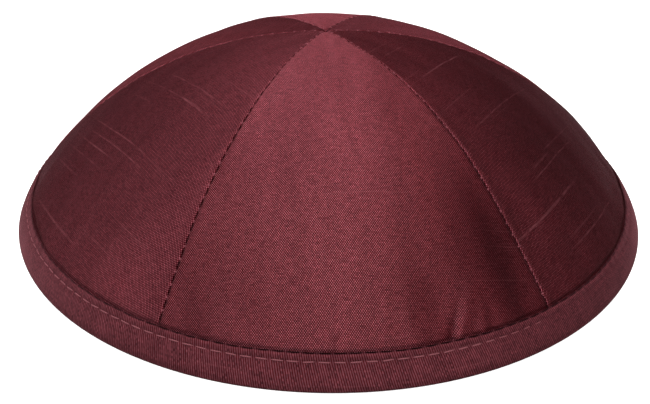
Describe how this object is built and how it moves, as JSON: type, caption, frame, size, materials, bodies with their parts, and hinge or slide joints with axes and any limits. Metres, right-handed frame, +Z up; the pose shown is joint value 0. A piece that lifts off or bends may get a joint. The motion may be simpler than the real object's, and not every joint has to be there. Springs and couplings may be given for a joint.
{
  "type": "skullcap",
  "caption": "Round silk kippah of sewn gores with a bound rim, a white lining and a spring hair clip sewn inside.",
  "frame": {"origin": "centre of the rim on the surface that it rests on", "axes": "+Z up through the top; the front gore faces -Y; the clip lies inside on +Y"},
  "size_m": [0.176, 0.176, 0.046],
  "materials": {
    "crown_silk": "slubbed silk with a soft sheen",
    "binding_silk": "slubbed silk, folded and topstitched",
    "lining_satin": "white satin",
    "clip_steel": "stamped and polished sheet",
    "clip_spring_steel": "plain spring wire"
  },
  "bodies": {
    "cap": {"crown_panel_front": "crown_silk", "crown_panel_front_right": "crown_silk", "crown_panel_back_right": "crown_silk", "crown_panel_back": "crown_silk", "crown_panel_back_left": "crown_silk", "crown_panel_front_left": "crown_silk", "lining_panel_front": "lining_satin", "lining_panel_front_right": "lining_satin", "lining_panel_back_right": "lining_satin", "lining_panel_back": "lining_satin", "lining_panel_back_left": "lining_satin", "lining_panel_front_left": "lining_satin", "rim_binding": "binding_silk", "clip_base": "clip_steel", "clip_pin": "clip_steel", "clip_spring": "clip_spring_steel"},
    "clip_jaw": {"clip_lever": "clip_steel"}
  },
  "joints": [
    {"name": "clip_hinge", "type": "hinge", "parent": "cap", "child": "clip_jaw", "pos_m": [0, 0.06424, 0.01473], "axis": [1, 0, 0], "range_deg": [0, 12], "stiffness_Nm_per_rad": 0.004, "springref_deg": -45.84}
  ]
}
